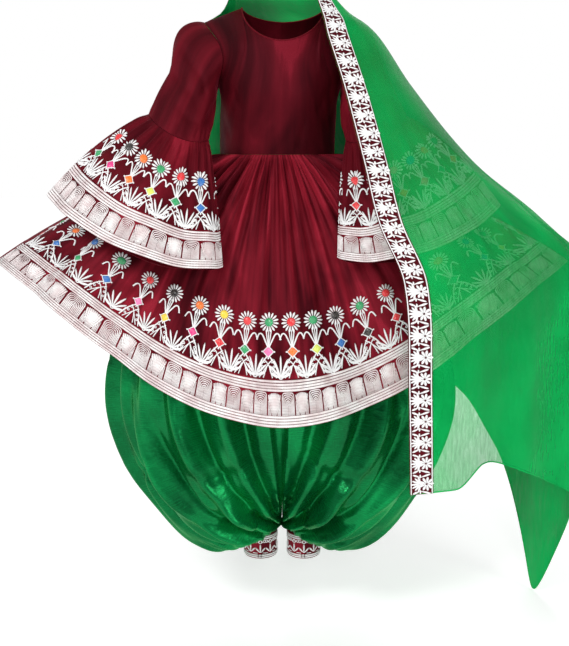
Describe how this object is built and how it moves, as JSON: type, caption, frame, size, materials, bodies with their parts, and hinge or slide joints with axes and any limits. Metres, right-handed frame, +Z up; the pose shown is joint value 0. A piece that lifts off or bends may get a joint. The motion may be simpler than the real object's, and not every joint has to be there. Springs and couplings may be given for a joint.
{
  "type": "kuchi dress",
  "caption": "Flared velvet frock with embroidered fan sleeves and skirt hem, ballooning satin trousers and a sheer bordered shawl, in the shape they take when worn.",
  "frame": {"origin": "middle of the line across the tops of the shoulders at the neck, where the wearer's shoulders carry the dress", "axes": "+Z up from the shoulders, the wearer faces -Y, and the wearer's left is +X"},
  "size_m": [1.4166, 0.7797, 1.775],
  "materials": {
    "velvet": "maroon velvet",
    "white_embroidery": "raised white cord embroidery",
    "satin": "green satin",
    "chiffon": "sheer green chiffon"
  },
  "bodies": {
    "root": {"bodice_front": "velvet", "bodice_back": "velvet", "skirt_front": "velvet", "skirt_back": "velvet", "skirt_band_front": "white_embroidery", "skirt_band_back": "white_embroidery", "sleeve_left": "velvet", "sleeve_right": "velvet", "ruffle_left": "velvet", "ruffle_right": "velvet", "ruffle_band_left": "white_embroidery", "ruffle_band_right": "white_embroidery", "trouser_waistband": "satin", "trouser_leg_left": "satin", "trouser_leg_right": "satin", "trouser_cuff_left": "white_embroidery", "trouser_cuff_right": "white_embroidery", "shawl": "chiffon", "shawl_border_left": "white_embroidery", "shawl_border_right": "white_embroidery"}
  },
  "joints": []
}
